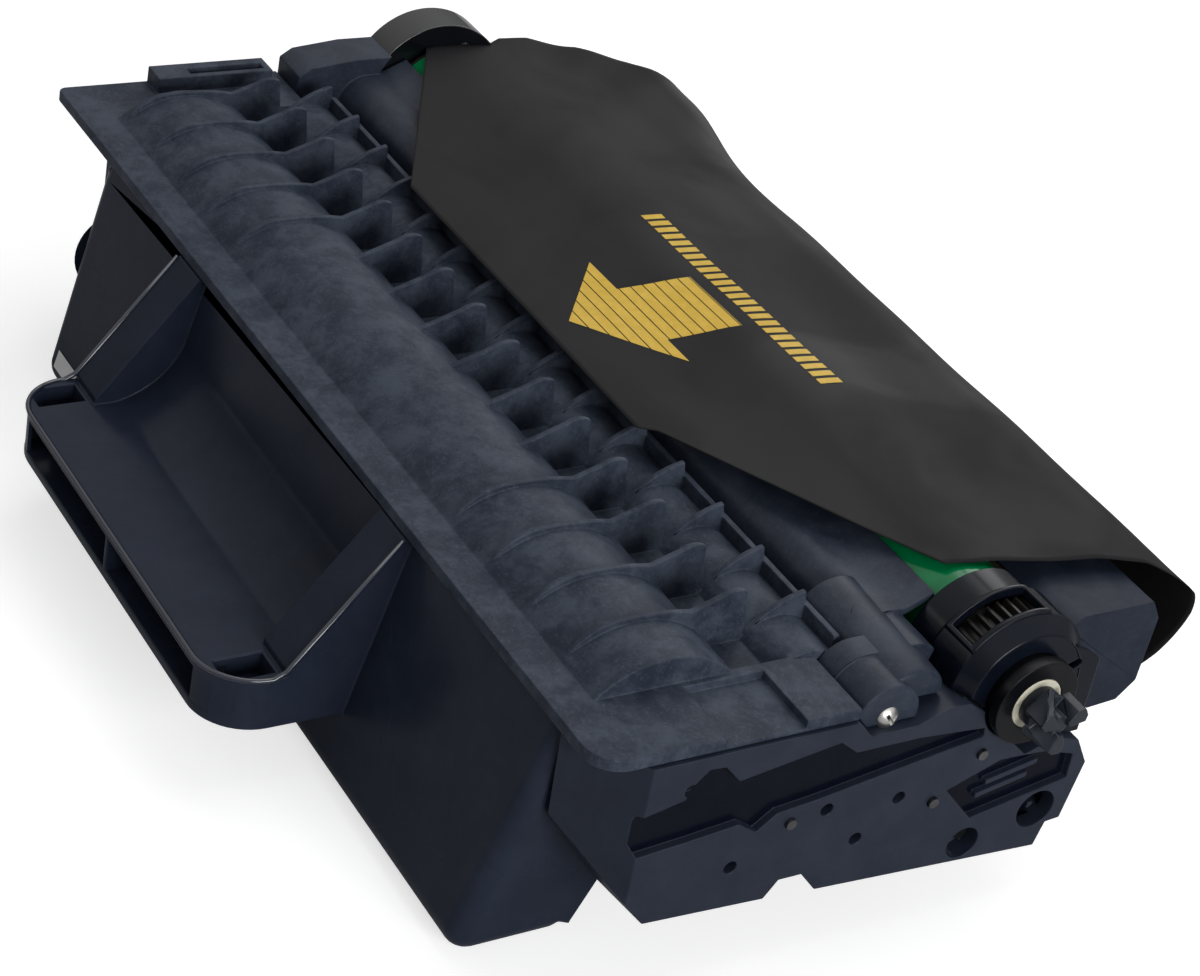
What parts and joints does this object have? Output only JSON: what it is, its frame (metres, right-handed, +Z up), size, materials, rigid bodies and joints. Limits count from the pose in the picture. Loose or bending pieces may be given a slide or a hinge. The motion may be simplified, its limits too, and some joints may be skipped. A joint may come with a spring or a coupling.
{
  "type": "toner cartridge",
  "caption": "Laser toner cartridge with its drum: deep hopper with a handle, ribbed paper guide, gear-driven rollers, and a protective film over the drum.",
  "frame": {"origin": "middle of the flat keel under the toner hopper, on the surface that the cartridge stands on", "axes": "+X along the drum to the drive coupling, +Y from the handle to the drum, +Z up"},
  "size_m": [0.3147, 0.2098, 0.084],
  "materials": {
    "hopper": "semi-gloss moulded",
    "guide": "mottled matt",
    "end_cover": "semi-gloss moulded",
    "drum_coat": "glossy coating on an aluminium tube",
    "ring": "cream acetal",
    "gear": "moulded acetal",
    "rubber": "soft, matt",
    "sleeve": "blasted",
    "steel": "turned",
    "sheet_steel": "zinc plated",
    "blade": "translucent urethane",
    "film": "thin matt film",
    "cap": "soft moulded"
  },
  "bodies": {
    "body": {"toner_hopper": "hopper", "fill_cap": "cap", "top_cover": "guide", "near_end_cover": "end_cover", "cover_pins": "steel", "far_end_cover": "end_cover", "cleaner_frame": "end_cover", "drum_end_bracket": "end_cover", "drum_bearing": "gear", "far_bearing_cover": "end_cover", "far_drum_pin": "steel", "developer_bushes": "ring", "supply_bushes": "ring", "charge_bearing_far": "gear", "charge_bearing_near": "gear", "doctor_bracket": "sheet_steel", "doctor_blade": "blade", "cleaning_bracket": "sheet_steel", "cleaning_blade": "blade", "developer_cover": "end_cover", "protective_film": "film"},
    "drum": {"opc_drum": "drum_coat", "drum_gear": "gear", "far_drum_flange": "gear", "drive_coupling": "gear", "coupling_ring": "ring"},
    "developer": {"developer_roller": "sleeve", "developer_shaft": "steel", "developer_gear": "gear"},
    "supply": {"supply_roller": "rubber", "supply_shaft": "steel", "supply_gear": "gear"},
    "idler": {"idler_gear": "gear"},
    "agitator": {"agitator_shaft": "cap", "agitator_wiper": "film", "agitator_gear": "gear"},
    "charge": {"charge_roller": "rubber", "charge_shaft": "steel"}
  },
  "joints": [
    {"name": "drum_spin", "type": "hinge", "parent": "body", "child": "drum", "pos_m": [0, 0.108, 0.062], "axis": [1, 0, 0], "continuous": true},
    {"name": "developer_spin", "type": "hinge", "parent": "body", "child": "developer", "pos_m": [0, 0.08749, 0.053], "axis": [1, 0, 0], "continuous": true},
    {"name": "supply_spin", "type": "hinge", "parent": "body", "child": "supply", "pos_m": [0, 0.07385, 0.04838], "axis": [1, 0, 0], "continuous": true},
    {"name": "idler_spin", "type": "hinge", "parent": "body", "child": "idler", "pos_m": [0, 0.05085, 0.04307], "axis": [1, 0, 0], "continuous": true},
    {"name": "agitator_spin", "type": "hinge", "parent": "body", "child": "agitator", "pos_m": [0, 0.02362, 0.03658], "axis": [1, 0, 0], "continuous": true},
    {"name": "charge_spin", "type": "hinge", "parent": "body", "child": "charge", "pos_m": [0, 0.11865, 0.04355], "axis": [1, 0, 0], "continuous": true}
  ],
  "couplings": [
    {"joint": "developer_spin", "follows": "drum_spin", "ratio": -2.2941},
    {"joint": "supply_spin", "follows": "drum_spin", "ratio": 2.0526},
    {"joint": "idler_spin", "follows": "drum_spin", "ratio": -0.975},
    {"joint": "agitator_spin", "follows": "drum_spin", "ratio": 1.3},
    {"joint": "charge_spin", "follows": "drum_spin", "ratio": -2.5}
  ]
}
